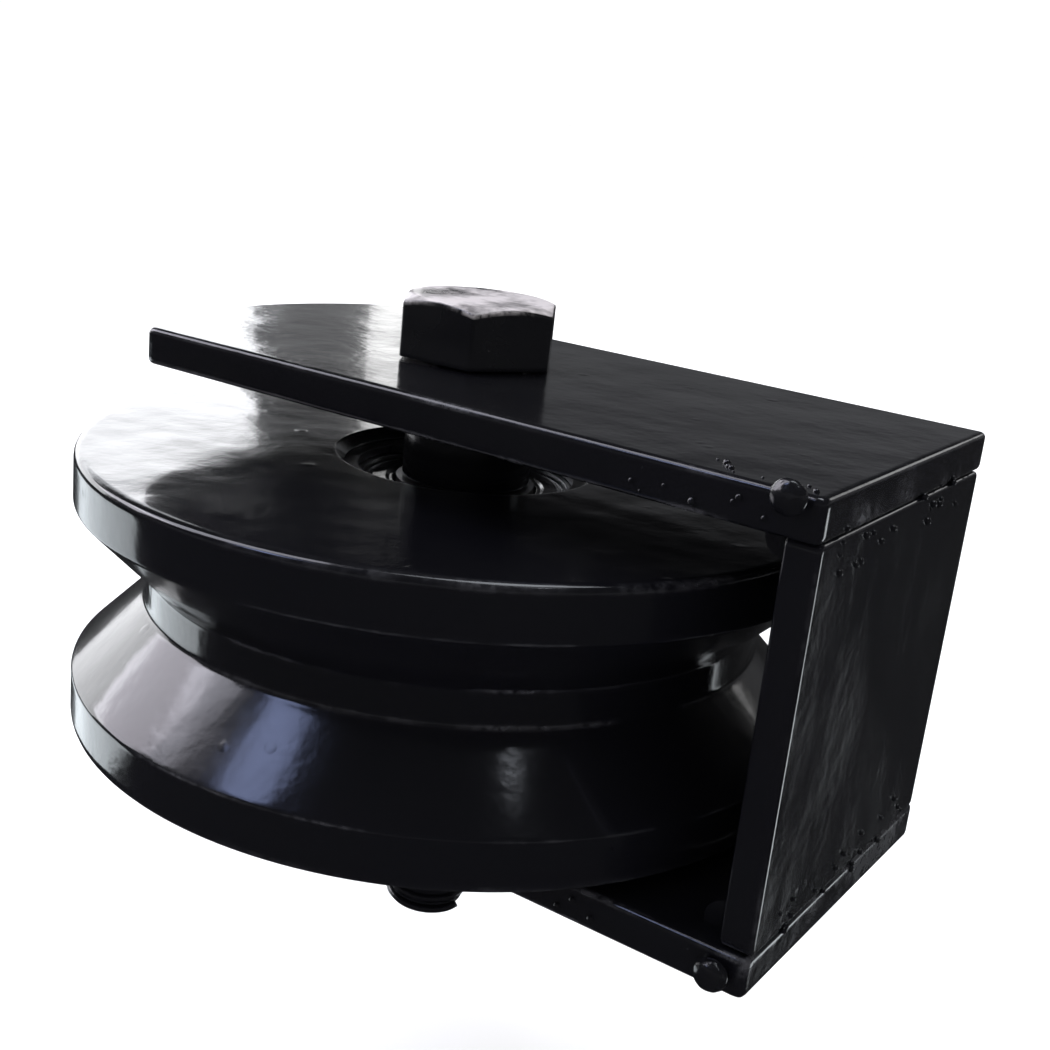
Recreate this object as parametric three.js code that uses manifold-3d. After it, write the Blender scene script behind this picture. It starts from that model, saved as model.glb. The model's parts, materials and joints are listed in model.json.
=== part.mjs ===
// Sliding-gate wheel: a V-groove wheel on two ball bearings, carried on a hex bolt between
// the cheeks of a welded plate bracket. Millimetres, +Z up along the axle towards the bolt
// head, +X out of the bracket's back plate. The origin is the middle of that plate's outer face.
import * as THREE from "three";
import { mergeVertices } from "three/addons/utils/BufferGeometryUtils.js";
import Module from "manifold-3d";

const wasm = await Module();
wasm.setup();

// ---- Driving dimensions -------------------------------------------------------------------
const GAP = 0.3; // clearance between pieces that touch
const FIT = 0.1; // clearance of a seated ring or shaft
const WHEEL = { r: 50, h: 35.5, rim: 6.5, grooveDepth: 9, edge: 1.2, midZ: -3.25 };
const AXLE_X = -60; // axle, measured from the back plate's outer face
const PLATE = 4.8; // thickness of the two cheeks
const CHEEK = { w: 50, endR: 42.5, hole: 6.5, edge: 0.5 };
const BRACKET_H = 55.5; // over both cheeks
const WEB = { t: 4, w: 48.4 };
const BEARING = { bore: 12, od: 32, w: 10, pitchR: 11, ballR: 2.95, raceR: 3.06, balls: 7 };
const SHOULDER = { innerR: 9.25, outerR: 12.75 }; // of the inner and outer ring, beside the race
const SHIELD = { t: 0.4, inset: 0.35, innerR: 9.6, outerR: 13.3 };
const CAGE = { innerR: 10.1, outerR: 11.9, halfH: 3.85 };
const BEARING_FACE = 14.8; // outer face of each bearing, from the wheel's middle plane
const CIRCLIP = { t: 1.2, outerR: 16.75, innerR: 14.3, lugR: 2.1, grooveR: 16.95, grooveW: 1.3 };
const BOLT = { r: 5.9, af: 19, headH: 7.8, length: 80, tip: 1.4, turn: 0.03 };
const NUT = { af: 19, h: 10.4, bore: 6.05, turn: 0.3 };
const PLAIN_WASHER = { innerR: 6.5, outerR: 11.9, t: 2.4 };
const SPRING_WASHER = { innerR: 6.2, outerR: 10.2, t: 2.5, slit: 1.6 };
const SPACER_R = 8.5;
const BEAD = { leg: 4.2, steps: 5, length: 42 };
const TACK = { rx: 2.1, ry: 1.2, rz: 2.0, inset: 3.4, upperDrop: 0.3, lowerRise: 2.4 };
const SEG = { wheel: 84, ring: 48, ball: 12 };

// ---- Derived places -----------------------------------------------------------------------
const cheekTop = BRACKET_H / 2;
const upperInside = cheekTop - PLATE;
const wheelZ = (z) => WHEEL.midZ + z;
const bearingMid = BEARING_FACE - BEARING.w / 2;
const plainWasherTop = -cheekTop - GAP;
const springWasherTop = plainWasherTop - PLAIN_WASHER.t - GAP;
const nutTop = springWasherTop - SPRING_WASHER.t - GAP;
const nutBottom = nutTop - NUT.h;
const headBottom = cheekTop + GAP;
const boltBottom = headBottom - BOLT.length;

const COLOURS = {
  paint: { color: 0x0b0b0d, roughness: 0.18, metalness: 0.1 },
  steel: { color: 0x9a9da1, roughness: 0.3, metalness: 1.0 },
  bright: { color: 0xc9ccd0, roughness: 0.12, metalness: 1.0 },
  spring: { color: 0x33353a, roughness: 0.4, metalness: 0.9 },
};

// ---- Shape helpers ------------------------------------------------------------------------
/** Merged, index-only copy of a geometry, without normals or texture coordinates. */
function weldVertices(geometry) {
  const plain = geometry.index ? geometry.toNonIndexed() : geometry.clone();
  plain.deleteAttribute("normal");
  plain.deleteAttribute("uv");
  return mergeVertices(plain, 1e-4);
}

/** A three.js geometry as a manifold solid. */
function toSolid(geometry) {
  const g = weldVertices(geometry);
  const mesh = new wasm.Mesh({
    numProp: 3,
    vertProperties: new Float32Array(g.attributes.position.array),
    triVerts: new Uint32Array(g.index.array),
  });
  return new wasm.Manifold(mesh);
}

/** A manifold solid as a three.js geometry. */
function fromSolid(solid) {
  const mesh = solid.getMesh();
  const g = new THREE.BufferGeometry();
  g.setAttribute("position", new THREE.BufferAttribute(new Float32Array(mesh.vertProperties), 3));
  g.setIndex(new THREE.BufferAttribute(new Uint32Array(mesh.triVerts), 1));
  return g;
}

/** Solid of revolution about Z from a closed [radius, z] outline, listed counter-clockwise. */
function revolve(outline, segments) {
  const points = outline.map(([r, z]) => new THREE.Vector2(r, z));
  points.push(points[0].clone());
  const g = new THREE.LatheGeometry(points, segments);
  g.rotateX(Math.PI / 2);
  return weldVertices(g);
}

/** Flat ring: a rectangle turned about Z. */
function ring(innerR, outerR, z0, z1, segments = SEG.ring) {
  return revolve([[innerR, z0], [outerR, z0], [outerR, z1], [innerR, z1]], segments);
}

/** Regular hexagon with the given distance across flats, one corner at angle turn from +X. */
function hexPrism(af, z0, height, turn) {
  const shape = new THREE.Shape();
  const cornerR = af / Math.sqrt(3);
  for (let i = 0; i < 6; i += 1) {
    const a = turn + (i * Math.PI) / 3;
    const p = [cornerR * Math.cos(a), cornerR * Math.sin(a)];
    if (i === 0) shape.moveTo(...p);
    else shape.lineTo(...p);
  }
  shape.closePath();
  const g = new THREE.ExtrudeGeometry(shape, { depth: height, bevelEnabled: false });
  g.translate(0, 0, z0);
  return g;
}

/** Solid turning body on the axis that cuts the corners of a hexagon off at 30 degrees. */
function cornerCut(af, z0, z1, cutTop, cutBottom) {
  const flatR = af / 2 - 0.3;
  const outR = af / Math.sqrt(3) + 0.5;
  const drop = (outR - flatR) * Math.tan(Math.PI / 6);
  const bottom = cutBottom ? [[0, z0], [flatR, z0], [outR, z0 + drop]] : [[0, z0], [outR, z0]];
  const top = cutTop ? [[outR, z1 - drop], [flatR, z1], [0, z1]] : [[outR, z1], [0, z1]];
  const points = [...bottom, ...top].map(([r, z]) => new THREE.Vector2(r, z));
  const g = new THREE.LatheGeometry(points, SEG.ring);
  g.rotateX(Math.PI / 2);
  return g;
}

/** Arc points of a circle in [radius, z], from angle a0 to a1. */
function arc(cr, cz, r, a0, a1, steps) {
  const points = [];
  for (let i = 0; i <= steps; i += 1) {
    const a = a0 + ((a1 - a0) * i) / steps;
    points.push([cr + r * Math.cos(a), cz + r * Math.sin(a)]);
  }
  return points;
}

// ---- Bracket ------------------------------------------------------------------------------
/** Cheek plate: straight sides, the free end an arc about the axle, one bolt hole. */
function cheek(z0) {
  const e = CHEEK.edge;
  const half = CHEEK.w / 2 - e;
  const endR = CHEEK.endR - e;
  const corner = Math.asin(half / endR);
  const shape = new THREE.Shape();
  shape.moveTo(-e, -half);
  shape.lineTo(-e, half);
  shape.lineTo(AXLE_X - endR * Math.cos(corner), half);
  const steps = 14;
  for (let i = 1; i <= steps; i += 1) {
    const a = Math.PI - corner + (2 * corner * i) / steps;
    shape.lineTo(AXLE_X + endR * Math.cos(a), endR * Math.sin(a));
  }
  shape.closePath();
  const hole = new THREE.Path();
  hole.absarc(AXLE_X, 0, CHEEK.hole + e, 0, 2 * Math.PI, true);
  shape.holes.push(hole);
  const g = new THREE.ExtrudeGeometry(shape, {
    depth: PLATE - 2 * e,
    bevelThickness: e,
    bevelSize: e,
    bevelSegments: 2,
    curveSegments: 20,
  });
  g.translate(0, 0, z0 + e);
  return g;
}

/** Back plate, standing between the cheeks. */
function webPlate() {
  const height = 2 * (upperInside - GAP);
  const g = new THREE.BoxGeometry(WEB.t, WEB.w, height);
  g.translate(-WEB.t / 2, 0, 0);
  return g;
}

/** Convex fillet bead in the corner of the back plate and a cheek; side is +1 for the upper. */
function weldBead(side) {
  const x0 = -WEB.t - GAP;
  const z0 = side * (upperInside - GAP);
  const shape = new THREE.Shape();
  shape.moveTo(0, 0);
  for (let i = 0; i <= BEAD.steps; i += 1) {
    const a = (i / BEAD.steps) * (Math.PI / 2);
    shape.lineTo(BEAD.leg * Math.cos(a) ** 1.25, BEAD.leg * Math.sin(a) ** 1.25);
  }
  shape.closePath();
  const g = new THREE.ExtrudeGeometry(shape, { depth: BEAD.length, bevelEnabled: false });
  // The outline's first axis becomes -X and its second points away from the cheek.
  const basis = new THREE.Matrix4().makeBasis(
    new THREE.Vector3(-1, 0, 0),
    new THREE.Vector3(0, 0, -side),
    new THREE.Vector3(0, side < 0 ? 1 : -1, 0),
  );
  g.applyMatrix4(basis);
  g.translate(x0, side < 0 ? -BEAD.length / 2 : BEAD.length / 2, z0);
  return g;
}

/** Lump where a bead runs out over a cheek's edge; end is -1 for the front edge. */
function weldTack(side, end) {
  const g = new THREE.SphereGeometry(1, 14, 9);
  g.scale(TACK.rx, TACK.ry, TACK.rz);
  const y = end * (CHEEK.w / 2 + GAP + TACK.ry);
  const z = side > 0 ? cheekTop - TACK.upperDrop : -cheekTop + TACK.lowerRise;
  g.translate(-TACK.inset, y, z);
  return g;
}

// ---- Axle ---------------------------------------------------------------------------------
/** Hex-head bolt: chamfered head, plain shank, chamfered end. */
function axleBolt() {
  const headTop = headBottom + BOLT.headH;
  const head = toSolid(hexPrism(BOLT.af, headBottom, BOLT.headH, BOLT.turn))
    .intersect(toSolid(cornerCut(BOLT.af, headBottom, headTop, true, false)));
  const shankTop = headBottom + 1;
  const outline = [
    new THREE.Vector2(0, boltBottom),
    new THREE.Vector2(BOLT.r - BOLT.tip, boltBottom),
    new THREE.Vector2(BOLT.r, boltBottom + BOLT.tip),
    new THREE.Vector2(BOLT.r, shankTop),
    new THREE.Vector2(0, shankTop),
  ];
  const shank = new THREE.LatheGeometry(outline, SEG.ring);
  shank.rotateX(Math.PI / 2);
  return fromSolid(head.add(toSolid(shank)));
}

/** Hex nut, chamfered on both faces. */
function nut() {
  const body = toSolid(hexPrism(NUT.af, nutBottom, NUT.h, NUT.turn))
    .intersect(toSolid(cornerCut(NUT.af, nutBottom, nutTop, true, true)));
  const bore = new THREE.CylinderGeometry(NUT.bore, NUT.bore, NUT.h + 4, SEG.ring);
  bore.rotateX(Math.PI / 2);
  bore.translate(0, 0, (nutBottom + nutTop) / 2);
  return fromSolid(body.subtract(toSolid(bore)));
}

/** Split spring washer between the nut and the plain washer. */
function springWasher() {
  const z0 = springWasherTop - SPRING_WASHER.t;
  const whole = toSolid(ring(SPRING_WASHER.innerR, SPRING_WASHER.outerR, z0, z0 + SPRING_WASHER.t));
  const slit = new THREE.BoxGeometry(SPRING_WASHER.outerR * 2, SPRING_WASHER.slit, 20);
  slit.translate(SPRING_WASHER.outerR * 1.3, 0, 0);
  slit.rotateX(0.5);
  slit.translate(0, 0, z0 + SPRING_WASHER.t / 2);
  return fromSolid(whole.subtract(toSolid(slit)));
}

/** Plain washer against the lower cheek. */
function plainWasher() {
  const { innerR, outerR, t } = PLAIN_WASHER;
  return ring(innerR, outerR, plainWasherTop - t, plainWasherTop);
}

/** Distance bush on the bolt between a bearing's inner ring and a cheek. */
function spacer(side) {
  const nearRing = wheelZ(side * (BEARING_FACE + GAP));
  const nearCheek = side * (upperInside - GAP);
  const z0 = Math.min(nearRing, nearCheek);
  const z1 = Math.max(nearRing, nearCheek);
  return ring(BEARING.bore / 2 + FIT, SPACER_R, z0, z1);
}

/** Sleeve on the bolt that keeps the two inner rings apart. */
function innerSleeve() {
  const half = BEARING_FACE - BEARING.w - GAP;
  return ring(BEARING.bore / 2 + FIT, 8.4, wheelZ(-half), wheelZ(half));
}

// ---- Wheel --------------------------------------------------------------------------------
/** Upper half of the wheel's outline, from the bore's middle round to the groove floor. */
function wheelHalfOutline() {
  const half = WHEEL.h / 2;
  const seatR = BEARING.od / 2 + FIT;
  const seatEnd = BEARING_FACE - BEARING.w - 0.2;
  const grooveTop = BEARING_FACE + 0.05 + CIRCLIP.grooveW;
  const mouth = half - 1.3;
  const e = WHEEL.edge;
  const coneTop = half - WHEEL.rim;
  const rounding = arc(WHEEL.r - e, half - e, e, Math.PI / 2, 0, 3);
  return [
    [13.8, seatEnd],
    [seatR, seatEnd],
    [seatR, BEARING_FACE + 0.05],
    [CIRCLIP.grooveR, BEARING_FACE + 0.05],
    [CIRCLIP.grooveR, grooveTop],
    [seatR, grooveTop],
    [seatR, mouth],
    [seatR + 1.3, half],
    ...rounding,
    [WHEEL.r, coneTop + 0.3],
    [WHEEL.r - 0.3, coneTop],
    [WHEEL.r - WHEEL.grooveDepth, coneTop - WHEEL.grooveDepth + 0.3],
  ];
}

/** The V-groove wheel: two rims, a 90 degree groove, and a stepped bore for the bearings. */
function wheelBody() {
  const upper = wheelHalfOutline();
  const lower = upper.map(([r, z]) => [r, -z]).reverse();
  const outline = [...upper, ...lower].reverse().map(([r, z]) => [r, wheelZ(z)]);
  return revolve(outline, SEG.wheel);
}

/** Internal retaining ring with two lugs, lying in the bore's groove outside a bearing. */
function circlip(side) {
  const gapHalf = 0.16;
  const shape = new THREE.Shape();
  const steps = 40;
  for (let i = 0; i <= steps; i += 1) {
    const a = gapHalf + ((2 * Math.PI - 2 * gapHalf) * i) / steps;
    const p = [CIRCLIP.outerR * Math.cos(a), CIRCLIP.outerR * Math.sin(a)];
    if (i === 0) shape.moveTo(...p);
    else shape.lineTo(...p);
  }
  for (let i = steps; i >= 0; i -= 1) {
    const a = gapHalf + ((2 * Math.PI - 2 * gapHalf) * i) / steps;
    const nearEnd = Math.min(a, 2 * Math.PI - a);
    const r = nearEnd < 0.42 ? CIRCLIP.innerR - CIRCLIP.lugR : CIRCLIP.innerR;
    shape.lineTo(r * Math.cos(a), r * Math.sin(a));
  }
  shape.closePath();
  const g = new THREE.ExtrudeGeometry(shape, { depth: CIRCLIP.t, bevelEnabled: false });
  g.rotateZ(Math.PI * 0.8);
  const z = side > 0 ? BEARING_FACE + 0.1 : -BEARING_FACE - 0.1 - CIRCLIP.t;
  g.translate(0, 0, wheelZ(z));
  return g;
}

// ---- Bearings -----------------------------------------------------------------------------
/** Outer ring: outside diameter, ball race, and a wider seat for a shield at each face. */
function outerRing(side) {
  const mid = wheelZ(side * bearingMid);
  const half = BEARING.w / 2;
  const seatZ = half - SHIELD.inset - SHIELD.t - GAP;
  const seatR = SHIELD.outerR + GAP;
  const reach = Math.acos((SHOULDER.outerR - BEARING.pitchR) / BEARING.raceR);
  const race = arc(BEARING.pitchR, 0, BEARING.raceR, reach, -reach, 8);
  const bore = [[seatR, half], [seatR, seatZ], [SHOULDER.outerR, seatZ], ...race,
    [SHOULDER.outerR, -seatZ], [seatR, -seatZ], [seatR, -half]];
  const outline = [...bore, [BEARING.od / 2, -half], [BEARING.od / 2, half]];
  return revolve(outline.map(([r, z]) => [r, mid + z]), SEG.ring);
}

/** Inner ring: bore on the bolt and the ball race outside. */
function innerRing(side) {
  const mid = wheelZ(side * bearingMid);
  const half = BEARING.w / 2;
  const reach = Math.acos((BEARING.pitchR - SHOULDER.innerR) / BEARING.raceR);
  const race = arc(BEARING.pitchR, 0, BEARING.raceR, Math.PI + reach, Math.PI - reach, 8);
  const outline = [[BEARING.bore / 2, half], [BEARING.bore / 2, -half],
    [SHOULDER.innerR, -half], ...race, [SHOULDER.innerR, half]];
  return revolve(outline.map(([r, z]) => [r, mid + z]), SEG.ring);
}

/** Thin shield pressed into the outer ring; face is +1 for the bearing's upper face. */
function shield(side, face) {
  const outer = wheelZ(side * bearingMid) + face * (BEARING.w / 2 - SHIELD.inset);
  const inner = outer - face * SHIELD.t;
  return ring(SHIELD.innerR, SHIELD.outerR, Math.min(outer, inner), Math.max(outer, inner));
}

/** Angle of a ball round the bearing. */
function ballAngle(i) {
  return (2 * Math.PI * i) / BEARING.balls;
}

/** Cage: a ring with a round pocket for each ball. */
function cage(side) {
  const mid = wheelZ(side * bearingMid);
  let solid = toSolid(ring(CAGE.innerR, CAGE.outerR, mid - CAGE.halfH, mid + CAGE.halfH, 42));
  for (let i = 0; i < BEARING.balls; i += 1) {
    const a = ballAngle(i);
    const pocket = new THREE.CylinderGeometry(BEARING.ballR + GAP, BEARING.ballR + GAP, 8, 16);
    pocket.rotateZ(Math.PI / 2);
    pocket.translate(BEARING.pitchR, 0, 0);
    pocket.rotateZ(a);
    pocket.translate(0, 0, mid);
    solid = solid.subtract(toSolid(pocket));
  }
  return fromSolid(solid);
}

/** One ball in its race. */
function ball(side, i) {
  const g = new THREE.SphereGeometry(BEARING.ballR, SEG.ball, 8);
  const a = ballAngle(i);
  const mid = wheelZ(side * bearingMid);
  g.translate(BEARING.pitchR * Math.cos(a), BEARING.pitchR * Math.sin(a), mid);
  return g;
}

// ---- Assembly -----------------------------------------------------------------------------
const assembly = new THREE.Group();
assembly.name = "gate_wheel";

/** Adds a named mesh with its own material. */
function addPart(name, geometry, finish) {
  const mesh = new THREE.Mesh(weldVertices(geometry), new THREE.MeshStandardMaterial(finish));
  mesh.geometry.computeVertexNormals();
  mesh.name = name;
  assembly.add(mesh);
}

/** The same, for a piece drawn round the axle instead of round the origin. */
function addOnAxle(name, geometry, finish) {
  geometry.translate(AXLE_X, 0, 0);
  addPart(name, geometry, finish);
}

addPart("cheek_upper", cheek(upperInside), COLOURS.paint);
addPart("cheek_lower", cheek(-cheekTop), COLOURS.paint);
addPart("web_plate", webPlate(), COLOURS.paint);
addPart("weld_bead_upper", weldBead(1), COLOURS.paint);
addPart("weld_bead_lower", weldBead(-1), COLOURS.paint);
addPart("weld_tack_upper", weldTack(1, -1), COLOURS.paint);
addPart("weld_tack_lower", weldTack(-1, -1), COLOURS.paint);

addOnAxle("axle_bolt", axleBolt(), COLOURS.paint);
addOnAxle("spacer_upper", spacer(1), COLOURS.paint);
addOnAxle("spacer_lower", spacer(-1), COLOURS.paint);
addOnAxle("inner_sleeve", innerSleeve(), COLOURS.steel);
addOnAxle("plain_washer", plainWasher(), COLOURS.paint);
addOnAxle("spring_washer", springWasher(), COLOURS.paint);
addOnAxle("nut", nut(), COLOURS.paint);

addOnAxle("wheel", wheelBody(), COLOURS.paint);
for (const [place, side] of [["upper", 1], ["lower", -1]]) {
  addOnAxle(`circlip_${place}`, circlip(side), COLOURS.spring);
  addOnAxle(`bearing_${place}_outer_ring`, outerRing(side), COLOURS.steel);
  addOnAxle(`bearing_${place}_inner_ring`, innerRing(side), COLOURS.steel);
  addOnAxle(`bearing_${place}_outside_shield`, shield(side, side), COLOURS.steel);
  addOnAxle(`bearing_${place}_inside_shield`, shield(side, -side), COLOURS.steel);
  addOnAxle(`bearing_${place}_cage`, cage(side), COLOURS.steel);
  for (let i = 0; i < BEARING.balls; i += 1) {
    addOnAxle(`bearing_${place}_ball_${i + 1}`, ball(side, i), COLOURS.bright);
  }
}

export default assembly;
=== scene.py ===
"""Looks of a sliding-gate wheel: a grooved wheel on two ball bearings in a welded plate bracket.

Lengths in the classes are millimetres in the same frame as the solids; meshes are made in metres.
"""

import json
import logging
import math
from dataclasses import dataclass, field
from enum import Enum
from typing import Callable, Iterable, Sequence

import bmesh
import bpy
from mathutils import Matrix, Vector

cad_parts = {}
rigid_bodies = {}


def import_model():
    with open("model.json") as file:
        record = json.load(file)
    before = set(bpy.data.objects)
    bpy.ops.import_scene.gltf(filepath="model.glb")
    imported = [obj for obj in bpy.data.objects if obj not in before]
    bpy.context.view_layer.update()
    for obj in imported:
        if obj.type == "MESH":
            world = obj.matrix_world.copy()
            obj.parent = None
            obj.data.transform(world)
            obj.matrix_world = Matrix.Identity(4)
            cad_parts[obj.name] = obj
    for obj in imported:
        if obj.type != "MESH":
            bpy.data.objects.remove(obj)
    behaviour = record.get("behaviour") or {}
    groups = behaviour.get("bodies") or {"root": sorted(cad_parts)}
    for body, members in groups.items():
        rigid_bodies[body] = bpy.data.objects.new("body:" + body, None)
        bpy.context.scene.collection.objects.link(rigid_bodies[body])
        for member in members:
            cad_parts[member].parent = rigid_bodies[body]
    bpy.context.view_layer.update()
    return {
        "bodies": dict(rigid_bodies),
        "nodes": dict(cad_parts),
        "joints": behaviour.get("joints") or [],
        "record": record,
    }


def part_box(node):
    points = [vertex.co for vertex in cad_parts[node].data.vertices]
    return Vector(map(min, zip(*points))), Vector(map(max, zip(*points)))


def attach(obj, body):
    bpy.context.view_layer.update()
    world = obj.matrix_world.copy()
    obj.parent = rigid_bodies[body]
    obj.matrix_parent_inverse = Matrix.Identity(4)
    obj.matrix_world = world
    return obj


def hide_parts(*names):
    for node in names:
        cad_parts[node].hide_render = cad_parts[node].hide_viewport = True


LOG = logging.getLogger("gate_wheel")
MM = 0.001
Point2 = tuple[float, float]
Point3 = tuple[float, float, float]
TURN = 2 * math.pi
Object = bpy.types.Object
Material = bpy.types.Material
Socket = bpy.types.NodeSocket


class Body(Enum):
    """The bodies that pieces ride on."""

    BRACKET = "bracket"
    WHEEL = "wheel"
    CAGE_UPPER = "cage_upper"
    CAGE_LOWER = "cage_lower"


class Slot(Enum):
    """The record's material slots."""

    PAINT = "black_paint"
    STEEL = "bearing_steel"
    BALL = "ball_steel"
    SPRING = "spring_steel"


class Side(Enum):
    """Upper or lower half of the assembly; the value is the sign along the axle."""

    UPPER = 1
    LOWER = -1

    @property
    def word(self) -> str:
        """The half's name in small letters."""
        return self.name.lower()


# ---- Outlines -----------------------------------------------------------------------------
def fillet(
    corners: Sequence[Point3], steps: int = 4, hold: float = 0.35
) -> list[Point3]:
    """Rounds the corners of a closed outline.

    Args:
        corners: x, y and rounding radius of each corner.
        steps: parts that each rounding is cut into.
        hold: distance of the extra points that keep the flats next to a rounding flat.

    Returns:
        Outline points as x, y and edge wear, 1 in the middle of a rounding.
    """
    out: list[Point3] = []
    count = len(corners)
    for i, (x, y, radius) in enumerate(corners):
        here = Vector((x, y))
        if radius <= 0:
            out.append((x, y, 0.0))
            continue
        before = Vector(corners[i - 1][:2]) - here
        after = Vector(corners[(i + 1) % count][:2]) - here
        half = before.angle(after) / 2
        cut = radius / math.tan(half)
        a, b = here + before.normalized() * cut, here + after.normalized() * cut
        if before.length > cut + 2.5 * hold:
            point = a + before.normalized() * hold
            out.append((point.x, point.y, 0.0))
        for k in range(steps + 1):
            t = k / steps
            point = a.lerp(here, t).lerp(here.lerp(b, t), t)
            out.append((point.x, point.y, 1.0 - abs(2 * t - 1)))
        if after.length > cut + 2.5 * hold:
            point = b + after.normalized() * hold
            out.append((point.x, point.y, 0.0))
    return out


def inset(outline: Sequence[Point2], distance: float) -> list[Point2]:
    """Moves a closed outline towards its left-hand side.

    Args:
        outline: points, counter-clockwise round material or clockwise round a hole.
        distance: how far the outline moves.

    Returns:
        As many points, mitred at the corners.
    """
    moved: list[Point2] = []
    count = len(outline)
    for i in range(count):
        here = Vector(outline[i])
        u = (here - Vector(outline[i - 1])).normalized()
        v = (Vector(outline[(i + 1) % count]) - here).normalized()
        normal = Vector((-u.y - v.y, u.x + v.x)).normalized()
        scale = distance / max(0.3, normal.dot(Vector((-u.y, u.x))))
        moved.append((here.x + normal.x * scale, here.y + normal.y * scale))
    return moved


# ---- Mesh making --------------------------------------------------------------------------
def new_object(name: str, data: bpy.types.ID) -> Object:
    """Makes an object from its data and links it to the scene."""
    obj = bpy.data.objects.new(name, data)
    bpy.context.scene.collection.objects.link(obj)
    return obj


@dataclass
class Shell:
    """A mesh being made: vertices in millimetres, faces, and edge wear for each vertex, which on
    the cheeks' ends also carries a painted highlight.
    """

    points: list[Point3] = field(default_factory=list)
    faces: list[tuple[int, ...]] = field(default_factory=list)
    wear: list[float] = field(default_factory=list)

    def ring(self, points: Iterable[Point3], wear: float | Sequence[float] = 0.0) -> list[int]:
        """Adds a row of vertices.

        Args:
            points: the vertices.
            wear: edge wear, one number for all or one for each.

        Returns:
            Their indices.
        """
        row = list(points)
        start = len(self.points)
        self.points += row
        self.wear += [wear] * len(row) if isinstance(wear, (int, float)) else list(wear)
        return list(range(start, len(self.points)))

    def bridge(self, a: Sequence[int], b: Sequence[int], closed: bool = True) -> None:
        """Joins two equal rows with quads.

        Args:
            a: first row.
            b: second row.
            closed: whether the rows are loops.
        """
        count = len(a)
        for i in range(count if closed else count - 1):
            j = (i + 1) % count
            self.faces.append((a[i], a[j], b[j], b[i]))

    def loft(self, rows: Sequence[Sequence[int]]) -> None:
        """Joins each looped row to the next one."""
        for a, b in zip(rows, rows[1:]):
            self.bridge(a, b)

    def cap(self, row: Sequence[int]) -> None:
        """Closes a row with one face."""
        self.faces.append(tuple(row))

    def fill(self, *loops: Sequence[int]) -> None:
        """Fills the flat space between an outer loop and its holes with triangles."""
        bm = bmesh.new()
        vert_of = {i: bm.verts.new(self.points[i]) for loop in loops for i in loop}
        back = {v: i for i, v in vert_of.items()}
        edges = [
            bm.edges.new((vert_of[loop[k - 1]], vert_of[loop[k]]))
            for loop in loops
            for k in range(len(loop))
        ]
        bmesh.ops.triangle_fill(bm, use_beauty=True, use_dissolve=False, edges=edges)
        self.faces += [tuple(back[v] for v in f.verts) for f in bm.faces]
        bm.free()

    def build(self, name: str, material: Material) -> Object:
        """Makes the object in metres, its normals outward and its shading smooth.

        Args:
            name: the object's name.
            material: its only material.

        Returns:
            The new object, linked to the scene.
        """
        mesh = bpy.data.meshes.new(name)
        mesh.from_pydata([[c * MM for c in p] for p in self.points], [], self.faces)
        layer = mesh.attributes.new("wear", "FLOAT", "POINT")
        layer.data.foreach_set("value", self.wear)
        bm = bmesh.new()
        bm.from_mesh(mesh)
        bmesh.ops.remove_doubles(bm, verts=bm.verts, dist=1e-7)
        bmesh.ops.recalc_face_normals(bm, faces=bm.faces)
        bm.to_mesh(mesh)
        bm.free()
        mesh.shade_smooth()
        mesh.set_sharp_from_angle(angle=math.radians(38))
        mesh.materials.append(material)
        return new_object(name, mesh)


def square(
    inner: float, outer: float, low: float, high: float, soft: float
) -> list[Point3]:
    """Corners of a ring's rectangular section, for rounding.

    Args:
        inner: inner radius.
        outer: outer radius.
        low: lower height.
        high: upper height.
        soft: rounding of each corner.

    Returns:
        Radius, height and rounding of the four corners.
    """
    return [(inner, low, soft), (outer, low, soft), (outer, high, soft), (inner, high, soft)]


def revolve(
    outline: Sequence[Point3],
    axle_x: float,
    segments: int = 96,
    wear_gain: float = 1.0,
) -> Shell:
    """Turns a closed outline about the axle.

    Args:
        outline: radius, height and wear of each point.
        axle_x: where the axle stands on X.
        segments: parts round the axle.
        wear_gain: multiplies the edge wear.

    Returns:
        The closed ring.
    """
    shell = Shell()
    rows = []
    for radius, height, wear in outline:
        circle = (
            (
                axle_x + radius * math.cos(TURN * k / segments),
                radius * math.sin(TURN * k / segments),
                height,
            )
            for k in range(segments)
        )
        rows.append(shell.ring(circle, wear * wear_gain))
    for i, row in enumerate(rows):
        shell.bridge(rows[i - 1], row)
    return shell


def stand(
    shell: Shell, section: Sequence[Point3], axle_x: float, angle: float
) -> list[int]:
    """Adds a section of a wound bar, stood up in a plane through the axle.

    Args:
        shell: the mesh being made.
        section: radius, height and wear of each point.
        axle_x: where the axle stands on X.
        angle: how far round the axle the plane is turned.

    Returns:
        The row's indices.
    """
    points = [(axle_x + r * math.cos(angle), r * math.sin(angle), h) for r, h, _ in section]
    return shell.ring(points, [w for _, _, w in section])


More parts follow.
